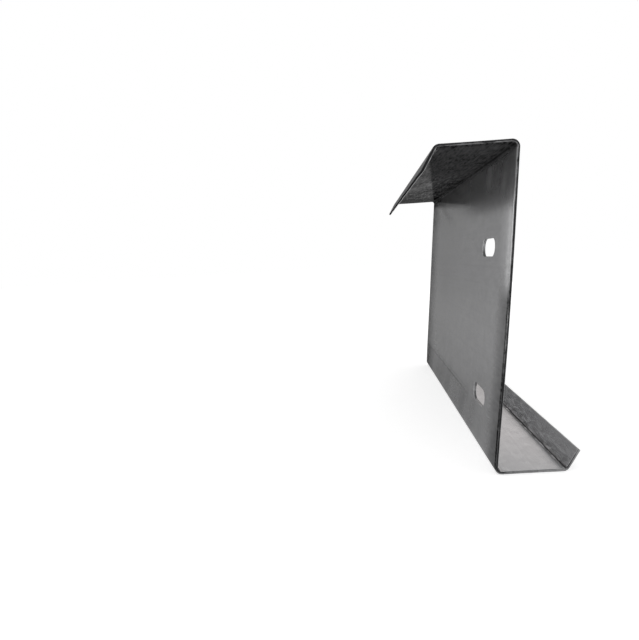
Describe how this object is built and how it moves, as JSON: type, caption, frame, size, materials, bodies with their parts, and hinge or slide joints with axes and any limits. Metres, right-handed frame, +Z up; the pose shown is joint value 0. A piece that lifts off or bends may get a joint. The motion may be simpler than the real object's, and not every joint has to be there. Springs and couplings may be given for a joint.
{
  "type": "z-purlin",
  "caption": "Short length of lipped Z-purlin in galvanised steel, standing on its narrower flange, with round-ended bolt slots through the web near one end.",
  "frame": {"origin": "on the floor under the middle of the bounding box", "axes": "+Z up from the bottom flange, +Y along the length away from the slotted end, +X across the section towards the bottom flange's lip"},
  "size_m": [0.0904, 0.3, 0.2],
  "materials": {
    "galvanised_steel": "hot-dip galvanised, dull zinc grey with a fine spangle"
  },
  "bodies": {
    "root": {"z_purlin": "galvanised_steel"}
  },
  "joints": []
}
